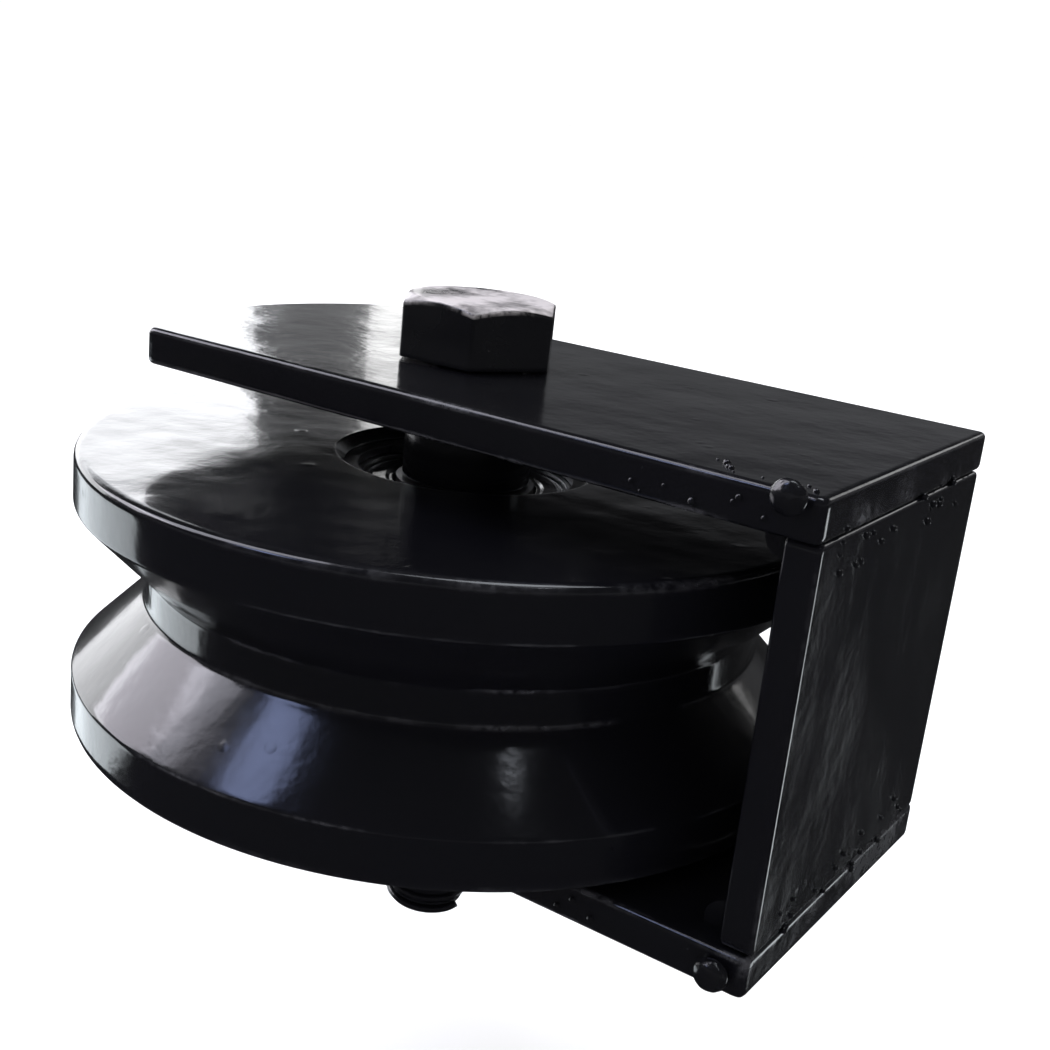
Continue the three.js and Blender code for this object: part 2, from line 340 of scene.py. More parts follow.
def plate(
    outline: Sequence[Point2],
    holes: Sequence[Sequence[Point2]],
    low: float,
    high: float,
    edge: float,
    place: Callable[[float, float, float], Point3],
) -> Shell:
    """A flat plate with rounded edges.

    Args:
        outline: outer outline, counter-clockwise.
        holes: hole outlines, clockwise.
        low: height of the lower face.
        high: height of the upper face.
        edge: radius of the rounded edges.
        place: turns outline x, outline y and height into a point of the frame.

    Returns:
        The closed plate.
    """
    shell = Shell()
    steps, hold = 4, 0.3
    profile: list[Point3] = [(edge + hold, low, 0.0)]
    for k in range(steps + 1):
        a = math.pi / 2 * k / steps
        wear = math.sin(2 * a)
        profile.append((edge * (1 - math.sin(a)), low + edge * (1 - math.cos(a)), wear))
    profile.append((0.0, low + edge + hold, 0.0))
    profile += [(d, high + low - z, w) for d, z, w in reversed(profile)]
    first, last = [], []
    for loop in (outline, *holes):
        rows = []
        for distance, height, wear in profile:
            points = [place(x, y, height) for x, y in inset(loop, distance)]
            rows.append(shell.ring(points, wear))
        shell.loft(rows)
        first.append(rows[0])
        last.append(rows[-1])
    for loops in (first, last):
        if len(loops) == 1:
            shell.cap(loops[0])
        else:
            shell.fill(*loops)
    return shell


# ---- Node trees ---------------------------------------------------------------------------
@dataclass
class NodeBoard:
    """Adds and joins nodes in one tree."""

    tree: bpy.types.NodeTree

    def add(
        self, kind: str, inputs: dict[str | int, object] | None = None, **props: object
    ) -> bpy.types.Node:
        """Adds a node.

        Args:
            kind: the node's type name.
            inputs: values or output sockets by input name or number.
            props: settings of the node itself.

        Returns:
            The new node.
        """
        node = self.tree.nodes.new(kind)
        for key, value in props.items():
            setattr(node, key, value)
        for key, value in (inputs or {}).items():
            if isinstance(value, Socket):
                self.tree.links.new(value, node.inputs[key])
            else:
                node.inputs[key].default_value = value
        return node

    def math(
        self, operation: str, a: object, b: object = 0.0, c: object = 0.0
    ) -> Socket:
        """One sum.

        Args:
            operation: the sum's type name.
            a: first value or socket.
            b: second value or socket.
            c: third value or socket, where the sum takes one.

        Returns:
            The result's socket.
        """
        node = self.add("ShaderNodeMath", {0: a, 1: b, 2: c}, operation=operation)
        return node.outputs[0]

    def plus(self, a: object, b: object) -> Socket:
        """The sum of two values or sockets."""
        return self.math("ADD", a, b)

    def times(self, a: object, b: object) -> Socket:
        """The product of two values or sockets."""
        return self.math("MULTIPLY", a, b)

    def blend(self, share: object, a: Point3, b: Point3) -> Socket:
        """A colour between two others.

        Args:
            share: 0 for the first colour, 1 for the second.
            a: first colour.
            b: second colour.

        Returns:
            The colour's socket.
        """
        colours = {0: share, 6: (*a, 1.0), 7: (*b, 1.0)}
        return self.add("ShaderNodeMix", colours, data_type="RGBA").outputs[2]

    def feed(self, node: bpy.types.Node, inputs: dict[str, Socket]) -> None:
        """Links sockets to a node's named inputs."""
        for key, socket in inputs.items():
            self.tree.links.new(socket, node.inputs[key])

    def ramp(
        self,
        value: object,
        low: float,
        high: float,
        to_low: float = 0.0,
        to_high: float = 1.0,
    ) -> Socket:
        """Maps a value to another range, held at both ends.

        Args:
            value: the value or socket.
            low: where the first range starts.
            high: where the first range ends.
            to_low: result at low.
            to_high: result at high.

        Returns:
            The result's socket.
        """
        ends = {0: value, 1: low, 2: high, 3: to_low, 4: to_high}
        return self.add("ShaderNodeMapRange", ends).outputs[0]

    def noise(
        self, vector: object, scale: float, detail: float = 2.0, rough: float = 0.5
    ) -> Socket:
        """Noise in space.

        Args:
            vector: the place's socket.
            scale: waves for each metre.
            detail: how many finer layers it has.
            rough: strength of the finer layers.

        Returns:
            The strength's socket.
        """
        node = self.add(
            "ShaderNodeTexNoise",
            {"Vector": vector, "Scale": scale, "Detail": detail, "Roughness": rough},
        )
        return node.outputs[0]


def new_material(name: str) -> tuple[Material, NodeBoard, bpy.types.Node]:
    """A node material.

    Args:
        name: the material's name.

    Returns:
        The material, its board and its principled shader.
    """
    material = bpy.data.materials.new(name)
    material.use_nodes = True
    board = NodeBoard(material.node_tree)
    shader = next(n for n in material.node_tree.nodes if n.type == "BSDF_PRINCIPLED")
    return material, board, shader


# ---- Finishes -----------------------------------------------------------------------------
@dataclass(frozen=True)
class GlossPaint:
    """Thick black gloss paint over rough steel, thin and chipped along edges.

    Fields:
        tone: colour of the full coat.
        thin: colour where the coat is thin or rubbed; also the colour of the painted highlights.
        smooth: lowest roughness.
        dull: highest roughness.
        peel: depth of the orange peel, as bump strength.
        worn: share of each edge that is rubbed, 0 to 1.
        dust: strength of a painted highlight on faces that look up, in mottled pale patches
            standing in for light from above.
    """

    name: str
    tone: Point3 = (0.003, 0.003, 0.0042)
    thin: Point3 = (0.075, 0.075, 0.085)
    smooth: float = 0.13
    dull: float = 0.26
    peel: float = 0.16
    worn: float = 0.45
    dust: float = 0.0

    def material(self) -> Material:
        """Builds the paint's nodes.

        Returns:
            The material.
        """
        material, board, shader = new_material(self.name)
        where = board.add("ShaderNodeTexCoord").outputs["Object"]
        # The wear attribute drives the pale colour: edge wear, and on the cheeks' ends a painted
        # highlight.
        wear = board.add("ShaderNodeAttribute", attribute_name="wear").outputs["Fac"]
        patch = board.noise(where, 90.0, 4.0, 0.6)
        grain = board.noise(where, 900.0, 3.0, 0.6)
        fleck = board.noise(where, 2300.0, 2.0, 0.7)
        rubbed = board.times(wear, board.ramp(patch, 0.62 - 0.35 * self.worn, 0.8))
        rubbed = board.times(rubbed, board.ramp(grain, 0.35, 0.6))
        specks = board.ramp(fleck, 0.73, 0.78, 0.0, 0.5)
        sparse = board.ramp(board.noise(where, 60.0, 2.0), 0.5, 0.7)
        specks = board.times(specks, sparse)
        # Painted highlight: faces that look up take the pale colour in mottled patches, standing in
        # for light falling from above.
        top_highlight_mottle = board.ramp(board.noise(where, 160.0, 5.0, 0.65), 0.3, 0.55)
        normal = board.add("ShaderNodeNewGeometry").outputs["Normal"]
        up = board.add("ShaderNodeSeparateXYZ", {0: normal})
        facing = board.ramp(up.outputs[2], 0.6, 0.95)
        painted_top_highlight_mask = board.times(board.times(top_highlight_mottle, facing), self.dust)
        pale = board.math("MAXIMUM", board.math("MAXIMUM", rubbed, specks), painted_top_highlight_mask)
        tone = board.blend(pale, self.tone, self.thin)
        rough = board.ramp(board.noise(where, 48.0, 5.0, 0.62), 0.32, 0.7, self.smooth, self.dull)
        rough = board.plus(rough, board.times(pale, 0.3))
        peel = board.noise(where, 520.0, 2.0, 0.45)
        sag = board.add("ShaderNodeMapping", {0: where, 3: (95.0, 95.0, 28.0)})
        flow = board.noise(sag.outputs[0], 1.0, 1.0)
        nibs = board.add("ShaderNodeTexVoronoi", {"Vector": where, "Scale": 170.0}).outputs[0]
        nibs = board.ramp(nibs, 0.05, 0.16, 1.0, 0.0)
        nibs = board.times(nibs, board.ramp(patch, 0.5, 0.62))
        bump = board.add("ShaderNodeBump", {"Strength": 0.25, "Distance": 0.0012, "Height": flow})
        for strength, deep, height in ((self.peel, 0.0003, peel), (0.3, 0.0002, nibs)):
            before = bump.outputs[0]
            relief = {"Strength": strength, "Distance": deep, "Height": height, "Normal": before}
            bump = board.add("ShaderNodeBump", relief)
        board.feed(shader, {"Base Color": tone, "Roughness": rough, "Normal": bump.outputs[0]})
        shader.inputs["Coat Weight"].default_value = 0.35
        shader.inputs["Coat Roughness"].default_value = 0.07
        shader.inputs["Specular IOR Level"].default_value = 0.5
        return material


@dataclass(frozen=True)
class GroundSteel:
    """Bare steel with fine turned or ground lines round the axle.

    Fields:
        tone: metal colour.
        smooth: lowest roughness.
        dull: highest roughness.
        lines: turned lines for each metre of radius.
        axle_x: where the axle stands on X, in millimetres.
    """

    name: str
    tone: Point3 = (0.42, 0.43, 0.45)
    smooth: float = 0.2
    dull: float = 0.42
    lines: float = 5200.0
    axle_x: float = -60.0

    def material(self) -> Material:
        """Builds the metal's nodes.

        Returns:
            The material.
        """
        material, board, shader = new_material(self.name)
        where = board.add("ShaderNodeTexCoord").outputs["Object"]
        centred = board.add("ShaderNodeMapping", {0: where, 1: (-self.axle_x * MM, 0.0, 0.0)})
        split = board.add("ShaderNodeSeparateXYZ", {0: centred.outputs[0]})
        x, y, z = split.outputs
        squares = board.times(x, x), board.times(y, y)
        radius = board.math("SQRT", board.plus(*squares))
        turned = board.add("ShaderNodeCombineXYZ", {0: radius, 2: z}).outputs[0]
        line = board.noise(turned, self.lines, 2.0, 0.6)
        stain = board.noise(where, 120.0, 4.0, 0.6)
        rough = board.ramp(stain, 0.3, 0.7, self.smooth, self.dull)
        rough = board.plus(rough, board.times(line, 0.06))
        dark = tuple(c * 0.55 for c in self.tone)
        tone = board.blend(board.ramp(stain, 0.35, 0.8), self.tone, dark)
        bump = board.add("ShaderNodeBump", {"Strength": 0.2, "Distance": 0.00008, "Height": line})
        board.feed(shader, {"Base Color": tone, "Roughness": rough, "Normal": bump.outputs[0]})
        shader.inputs["Metallic"].default_value = 1.0
        return material


@dataclass
class Paintshop:
    """The finishes that the pieces share."""

    paint: Material
    head: Material
    weld: Material
    wheel: Material
    steel: Material
    ball: Material
    spring: Material

    @classmethod
    def open(cls) -> "Paintshop":
        """Makes every finish once."""
        return cls(
            paint=GlossPaint("bracket_gloss_black").material(),
            # The bolt head's finish: pinkish white on rubbed edges, and a painted highlight over
            # its top faces.
            head=GlossPaint(
                "rubbed_gloss_black", thin=(0.62, 0.58, 0.59), dull=0.4, worn=0.75, dust=1.0
            ).material(),
            weld=GlossPaint("weld_gloss_black", dull=0.34, peel=0.4, worn=0.8).material(),
            wheel=GlossPaint("wheel_gloss_black", peel=0.1, smooth=0.1, dull=0.22).material(),
            steel=GroundSteel("bearing_ground_steel").material(),
            ball=GroundSteel(
                "polished_ball_steel", tone=(0.7, 0.71, 0.73), smooth=0.05, dull=0.12
            ).material(),
            spring=GroundSteel(
                "blackened_spring_steel", tone=(0.09, 0.09, 0.1), smooth=0.3, dull=0.5
            ).material(),
        )


# ---- Geometry Nodes -----------------------------------------------------------------------
@dataclass
class NodeRecipe:
    """A Geometry Nodes tree with named inputs that ends in realised, dressed geometry."""

    name: str
    board: NodeBoard = field(init=False)
    entry: bpy.types.Node = field(init=False)

    def __post_init__(self) -> None:
        """Makes the empty tree with a geometry socket at each end."""
        tree = bpy.data.node_groups.new(self.name, "GeometryNodeTree")
        tree.interface.new_socket("Geometry", in_out="INPUT", socket_type="NodeSocketGeometry")
        tree.interface.new_socket("Geometry", in_out="OUTPUT", socket_type="NodeSocketGeometry")
        self.board = NodeBoard(tree)
        self.entry = self.board.add("NodeGroupInput")

    def socket(
        self, name: str, kind: str = "Float", default: object = None
    ) -> Socket:
        """Adds a named input.

        Args:
            name: the input's name.
            kind: Float, Int, Vector or Material.
            default: its first value.

        Returns:
            The socket to link from.
        """
        item = self.board.tree.interface.new_socket(
            name, in_out="INPUT", socket_type=f"NodeSocket{kind}"
        )
        if default is not None:
            item.default_value = default
        return self.entry.outputs[name]

    def finish(self, geometry: Socket) -> None:
        """Ends the tree: real mesh, smooth shading and one material."""
        material = self.socket("Finish", "Material")
        real = self.board.add("GeometryNodeRealizeInstances", {0: geometry})
        smooth = self.board.add("GeometryNodeSetShadeSmooth", {0: real.outputs[0]})
        dressed = self.board.add(
            "GeometryNodeSetMaterial", {"Geometry": smooth.outputs[0], "Material": material}
        )
        self.board.add("NodeGroupOutput", {0: dressed.outputs[0]})

    def cast(
        self, name: str, values: dict[str, object], start: bpy.types.Mesh | None = None
    ) -> Object:
        """Runs the tree once and keeps the result as a plain mesh.

        Args:
            name: the new object's name.
            values: input values by input name.
            start: the mesh that the tree works on, where it needs one.

        Returns:
            The object with its finished mesh and no modifier.
        """
        keys = {
            item.name: item.identifier
            for item in self.board.tree.interface.items_tree
            if item.in_out == "INPUT"
        }
        obj = new_object(name, start or bpy.data.meshes.new(name + "_start"))
        modifier = obj.modifiers.new("shape", "NODES")
        modifier.node_group = self.board.tree
        for key, value in values.items():
            modifier[keys[key]] = value
        graph = bpy.context.evaluated_depsgraph_get()
        graph.update()
        mesh = bpy.data.meshes.new_from_object(obj.evaluated_get(graph), depsgraph=graph)
        obj.modifiers.remove(modifier)
        obj.data = mesh
        mesh.name = name
        return obj


def weld_bead_recipe() -> NodeRecipe:
    """A rippled weld bead along a straight run.

    Returns:
        The recipe with inputs Start, End, Radius, Pitch, Ripple, Wander, Seed and Finish.
    """
    recipe = NodeRecipe("weld_bead_run")
    board = recipe.board
    start, end = recipe.socket("Start", "Vector"), recipe.socket("End", "Vector")
    radius = recipe.socket("Radius", default=0.0026)
    pitch = recipe.socket("Pitch", default=0.0016)
    ripple = recipe.socket("Ripple", default=0.12)
    wander = recipe.socket("Wander", default=0.5)
    seed = recipe.socket("Seed", default=1.0)
    line = board.add("GeometryNodeCurvePrimitiveLine", {"Start": start, "End": end})
    dense = board.add("GeometryNodeResampleCurve", {"Curve": line.outputs[0], "Count": 150})
    length = board.add("GeometryNodeSplineParameter").outputs["Length"]
    phase = board.math("DIVIDE", length, pitch)
    wave = board.math("SINE", board.times(phase, TURN))
    drift = board.plus(board.times(phase, 0.45), seed)
    noise = board.add(
        "ShaderNodeTexNoise",
        {"W": drift, "Scale": 1.0, "Detail": 2.0},
        noise_dimensions="1D",
    ).outputs[0]
    swell = board.times(board.math("SUBTRACT", noise, 0.5), wander)
    size = board.plus(board.plus(1.0, board.times(wave, ripple)), swell)
    factor = board.add("GeometryNodeSplineParameter").outputs["Factor"]
    rise = board.ramp(factor, 0.0, 0.04, 0.45, 1.0)
    ends = board.times(rise, board.ramp(factor, 0.96, 1.0, 1.0, 0.45))
    sized = board.add(
        "GeometryNodeSetCurveRadius",
        {"Curve": dense.outputs[0], "Radius": board.times(size, ends)},
    )
    circle = board.add("GeometryNodeCurvePrimitiveCircle", {"Resolution": 20, "Radius": radius})
    tube = board.add(
        "GeometryNodeCurveToMesh",
        {"Curve": sized.outputs[0], "Profile Curve": circle.outputs[0], "Fill Caps": True},
    )
    recipe.finish(tube.outputs[0])
    return recipe


def lump_recipe() -> NodeRecipe:
    """A lump of weld metal, uneven all over.

    Returns:
        The recipe with inputs Centre, Size, Uneven, Seed and Finish.
    """
    recipe = NodeRecipe("weld_lump")
    board = recipe.board
    centre, size = recipe.socket("Centre", "Vector"), recipe.socket("Size", "Vector")
    uneven = recipe.socket("Uneven", default=0.3)
    seed = recipe.socket("Seed", default=3.0)
    ball = board.add("GeometryNodeMeshIcoSphere", {"Radius": 1.0, "Subdivisions": 5})
    here = board.add("GeometryNodeInputPosition").outputs[0]
    noise = board.add(
        "ShaderNodeTexNoise",
        {"Vector": here, "W": seed, "Scale": 0.9, "Detail": 2.5},
        noise_dimensions="4D",
    ).outputs[0]
    swell = board.times(board.math("SUBTRACT", noise, 0.5), uneven)
    grow = board.plus(0.85, swell)
    scaled = board.add("ShaderNodeVectorMath", {0: here, 3: grow}, operation="SCALE")
    moved = board.add(
        "GeometryNodeSetPosition", {"Geometry": ball.outputs[0], "Position": scaled.outputs[0]}
    )
    placed = board.add(
        "GeometryNodeTransform",
        {"Geometry": moved.outputs[0], "Translation": centre, "Scale": size},
    )
    recipe.finish(placed.outputs[0])
    return recipe


def spatter_recipe() -> NodeRecipe:
    """Weld spatter: small round drops scattered over the faces it is given.

    Returns:
        The recipe with inputs Density, Smallest, Largest, Seed and Finish.
    """
    recipe = NodeRecipe("weld_spatter")
    board = recipe.board
    density = recipe.socket("Density", default=60000.0)
    smallest = recipe.socket("Smallest", default=0.00015)
    largest = recipe.socket("Largest", default=0.0005)
    seed = recipe.socket("Seed", "Int", 4)
    spots = board.add(
        "GeometryNodeDistributePointsOnFaces",
        {"Mesh": recipe.entry.outputs[0], "Density": density, "Seed": seed},
    )
    drop = board.add("GeometryNodeMeshIcoSphere", {"Radius": 1.0, "Subdivisions": 2})
    size = board.add("FunctionNodeRandomValue", {2: smallest, 3: largest, "Seed": seed})
    drops = board.add(
        "GeometryNodeInstanceOnPoints",
        {"Points": spots.outputs[0], "Instance": drop.outputs[0], "Scale": size.outputs[1]},
    )
    recipe.finish(drops.outputs[0])
    return recipe


def thread_recipe() -> NodeRecipe:
    """A screw thread's ridge wound round the axle.

    Returns:
        The recipe with inputs Foot, Radius, Ridge, Pitch, Turns and Finish.
    """
    recipe = NodeRecipe("screw_thread")
    board = recipe.board
    foot = recipe.socket("Foot", "Vector")
    radius = recipe.socket("Radius", default=0.0054)
    ridge = recipe.socket("Ridge", default=0.0005)
    pitch = recipe.socket("Pitch", default=0.00175)
    turns = recipe.socket("Turns", default=4.0)
    coil = board.add(
        "GeometryNodeCurveSpiral",
        {
            "Resolution": 48,
            "Rotations": turns,
            "Start Radius": radius,
            "End Radius": radius,
            "Height": board.times(turns, pitch),
            "Reverse": False,
        },
    )
    upright = board.add("GeometryNodeSetCurveNormal", {"Curve": coil.outputs[0]})
    profile = board.add("GeometryNodeCurvePrimitiveCircle", {"Resolution": 4, "Radius": ridge})
    wound = board.add(
        "GeometryNodeCurveToMesh",
        {"Curve": upright.outputs[0], "Profile Curve": profile.outputs[0], "Fill Caps": True},
    )
    placed = board.add("GeometryNodeTransform", {"Geometry": wound.outputs[0], "Translation": foot})
    recipe.finish(placed.outputs[0])
    return recipe


def ball_set_recipe() -> NodeRecipe:
    """Bearing balls set evenly round the axle.

    Returns:
        The recipe with inputs Centre, Pitch Radius, Ball Radius, Count and Finish.
    """
    recipe = NodeRecipe("ball_set")
    board = recipe.board
    centre = recipe.socket("Centre", "Vector")
    pitch = recipe.socket("Pitch Radius", default=0.011)
    size = recipe.socket("Ball Radius", default=0.00295)
    count = recipe.socket("Count", "Int", 7)
    circle = board.add("GeometryNodeMeshCircle", {"Vertices": count, "Radius": pitch})
    ball = board.add("GeometryNodeMeshUVSphere", {"Segments": 24, "Rings": 16, "Radius": size})
    balls = board.add(
        "GeometryNodeInstanceOnPoints", {"Points": circle.outputs[0], "Instance": ball.outputs[0]}
    )
    placed = board.add(
        "GeometryNodeTransform", {"Geometry": balls.outputs[0], "Translation": centre}
    )
    recipe.finish(placed.outputs[0])
    return recipe


def metres(x: float, y: float, z: float) -> Point3:
    """A point in metres from millimetres."""
    return (x * MM, y * MM, z * MM)


def settle(obj: Object, body: Body, slot: Slot, *nodes: str) -> Object:
    """Puts a finished piece on its body in place of its solids.

    Args:
        obj: the piece.
        body: the body it rides on.
        slot: the record's material slot for the piece; not used.
        nodes: the solids it stands for.

    Returns:
        The piece.
    """
    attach(obj, body.value)
    if nodes:
        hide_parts(*nodes)
    LOG.info("%s: %d faces, rides on %s", obj.name, len(obj.data.polygons), body.value)
    return obj


# ---- Bracket ------------------------------------------------------------------------------
@dataclass
class Bracket:
    """Two cheek plates and a back plate welded to a channel."""

    shop: Paintshop
    axle_x: float = -60.0
    thick: float = 4.8
    over: float = 55.5
    width: float = 50.0
    end_radius: float = 42.5
    hole: float = 6.5
    web_thick: float = 4.0
    web_width: float = 48.4
    bead: float = 2.5
    bead_length: float = 42.0

    @property
    def top(self) -> float:
        """Height of the upper cheek's outer face."""
        return self.over / 2

    def cheek_outline(self) -> list[Point2]:
        """The cheek seen along the axle: square at the back plate, an arc at the free end."""
        half = self.width / 2
        turn = math.asin(half / self.end_radius)
        steps = 40
        corners = [(0.0, -half, 1.1), (0.0, half, 1.1)]
        for i in range(steps + 1):
            a = math.pi - turn + 2 * turn * i / steps
            soft = 1.6 if i in (0, steps) else 0.0
            corners.append(
                (self.axle_x + self.end_radius * math.cos(a), self.end_radius * math.sin(a), soft)
            )
        return [(x, y) for x, y, _ in fillet(corners, 3, 0.5)]

    def cheek(self, side: Side) -> Object:
        """One cheek plate with its bolt hole.

        Args:
            side: upper or lower.

        Returns:
            The piece.
        """
        outer = side.value * self.top
        inner = side.value * (self.top - self.thick)
        hole = [
            (
                self.axle_x + self.hole * math.cos(-TURN * k / 72),
                self.hole * math.sin(-TURN * k / 72),
            )
            for k in range(72)
        ]
        shell = plate(
            self.cheek_outline(),
            [hole],
            min(outer, inner),
            max(outer, inner),
            0.75,
            lambda x, y, z: (x, y, z),
        )
        # The end face at the back plate and its rounding get high wear: the pale paint there is a
        # painted highlight, weaker near the outer face.
        for i, (x, _, z) in enumerate(shell.points):
            if x > -0.5:
                painted_end_highlight = 1.0 if z * side.value < self.top - 1.6 else 0.35
                shell.wear[i] = max(shell.wear[i], painted_end_highlight)
        piece = shell.build(f"cheek_plate_{side.word}", self.shop.paint)
        return settle(piece, Body.BRACKET, Slot.PAINT, f"cheek_{side.word}")

    def back_plate(self) -> Object:
        """The plate between the cheeks, its outer face in line with the cheeks' ends."""
        half_w, half_h = self.web_width / 2, self.top - self.thick - 0.02
        outline = [(-half_w, -half_h), (half_w, -half_h), (half_w, half_h), (-half_w, half_h)]
        corners = fillet([(x, y, 0.9) for x, y in outline], 3, 0.4)
        shell = plate(
            [(x, y) for x, y, _ in corners],
            [],
            -self.web_thick,
            0.0,
            0.5,
            lambda u, v, w: (w, u, v),
        )
        shell.wear = [0.25 * w for w in shell.wear]
        piece = shell.build("back_plate", self.shop.paint)
        return settle(piece, Body.BRACKET, Slot.PAINT, "web_plate")

    def welds(self) -> None:
        """Beads in the inside corners, lumps at their run-outs and spatter near them."""
        beads, lumps = weld_bead_recipe(), lump_recipe()
        for side in Side:
            x = -self.web_thick - 0.9
            z = side.value * (self.top - self.thick - 0.9)
            half = self.bead_length / 2
            bead = beads.cast(
                f"weld_run_{side.word}",
                {
                    "Start": metres(x, -half, z),
                    "End": metres(x, half, z),
                    "Radius": self.bead * MM,
                    "Seed": 2.0 + side.value,
                    "Finish": self.shop.weld,
                },
            )
            settle(bead, Body.BRACKET, Slot.PAINT, f"weld_bead_{side.word}")
            low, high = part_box(f"weld_tack_{side.word}")
            centre = (low + high) / 2
            lump = lumps.cast(
                f"weld_lump_{side.word}",
                {
                    "Centre": (centre.x, centre.y + 0.0003, centre.z),
                    "Size": metres(2.3, 1.5, 2.2),
                    "Seed": 5.0 + side.value,
                    "Finish": self.shop.weld,
                },
            )
            settle(lump, Body.BRACKET, Slot.PAINT, f"weld_tack_{side.word}")
        self.spatter()

    def spatter(self) -> None:
        """Drops of weld spatter on the plates round the welded corners."""
        shell = Shell()
        edge, top = self.width / 2, self.top
        strips = [
            ((-26.0, -edge, top - 1), (-3.0, -edge, top - 1), (0.0, 0.0, -3.0)),
            ((-16.0, -edge + 1, top), (-2.0, -edge + 1, top), (0.0, 5.0, 0.0)),
            ((-24.0, -edge, -top + 1), (-3.0, -edge, -top + 1), (0.0, 0.0, 3.0)),
            ((0.0, -20.0, -top + 4), (0.0, 20.0, -top + 4), (0.0, 0.0, 5.0)),
            ((0.0, -20.0, top - 4), (0.0, 20.0, top - 4), (0.0, 0.0, -5.0)),
        ]
        for a, b, across in strips:
            far_b, far_a = (tuple(c + d for c, d in zip(p, across)) for p in (b, a))
            shell.cap(shell.ring([a, b, far_b, far_a]))
        ground = shell.build("spatter_ground", self.shop.weld)
        mesh = ground.data
        bpy.data.objects.remove(ground)
        drops = spatter_recipe().cast(
            "weld_spatter", {"Density": 110000.0, "Seed": 11, "Finish": self.shop.weld}, mesh
        )
        settle(drops, Body.BRACKET, Slot.PAINT)

    def build(self) -> None:
        """Makes every piece of the bracket."""
        for side in Side:
            self.cheek(side)
        self.back_plate()
        self.welds()


# ---- Axle ---------------------------------------------------------------------------------
@dataclass
class HexBody:
    """A hexagon with rounded corners whose ends are cut off by a cone, as on bolts and nuts."""

    across: float
    low: float
    high: float
    turn: float
    axle_x: float
    bore: float = 0.0
    cut_below: bool = True
    cone: float = math.radians(24)

    def outline(self) -> list[Point2]:
        """The hexagon about the axle, with points along each flat."""
        corner = self.across / math.sqrt(3)
        corners = []
        for i in range(6):
            a = self.turn + i * math.pi / 3
            b = a + math.pi / 3
            here = Vector((corner * math.cos(a), corner * math.sin(a)))
            there = Vector((corner * math.cos(b), corner * math.sin(b)))
            corners.append((here.x, here.y, 0.7))
            for k in range(1, 10):
                point = here.lerp(there, k / 10)
                corners.append((point.x, point.y, 0.0))
        return [(x, y) for x, y, _ in fillet(corners, 4, 0.2)]

    def end(self, shell: Shell, plan: Sequence[Point2], up: int) -> list[list[int]]:
        """Rows of one end, from its flat to the hexagon's side.

        Args:
            shell: the mesh being made.
            plan: the hexagon's outline.
            up: 1 for the top end, -1 for the bottom.

        Returns:
            The rows, inner first.
        """
        face = self.high if up > 0 else self.low
        flat = self.across / 2 - 0.35
        cut = up > 0 or self.cut_below
        slope = math.tan(self.cone) if cut else 0.0
        rows = []
        for inwards, drop, wear in ((0.5, 0.0, 0.0), (0.12, 0.01, 0.5), (-0.12, 0.08, 0.8)):
            points = []
            for x, y in plan:
                reach = (flat - inwards) / math.hypot(x, y)
                points.append((self.axle_x + x * reach, y * reach, face - up * drop))
            rows.append(shell.ring(points, wear))
        sides = ((0.22, 0.0, 0.4), (0.06, 0.05, 1.0), (0.0, 0.2, 0.8), (0.0, 0.6, 0.0))
        for inwards, drop, wear in sides:
            points = []
            for x, y in plan:
                radius = math.hypot(x, y)
                reach = (radius - inwards) / radius
                height = max(0.0, (radius - inwards - flat) * slope) + drop
                points.append((self.axle_x + x * reach, y * reach, face - up * height))
            rows.append(shell.ring(points, wear if cut else 0.0))
        return rows

    def shell(self) -> Shell:
        """The closed body, with a bore where one is given."""
        shell = Shell()
        plan = self.outline()
        top, bottom = self.end(shell, plan, 1), self.end(shell, plan, -1)
        shell.loft(top)
        shell.loft(bottom)
        shell.bridge(top[-1], bottom[-1])
        if not self.bore:
            shell.cap(top[0])
            shell.cap(bottom[0])
            return shell
        rows = []
        for radius, height in (
            (self.bore + 0.9, self.high),
            (self.bore, self.high - 0.8),
            (self.bore, self.low + 0.8),
            (self.bore + 0.9, self.low),
        ):
            points = []
            for x, y in plan:
                reach = radius / math.hypot(x, y)
                points.append((self.axle_x + x * reach, y * reach, height))
            rows.append(shell.ring(points, 0.3))
        shell.bridge(top[0], rows[0])
        shell.loft(rows)
        shell.bridge(bottom[0], rows[-1])
        return shell


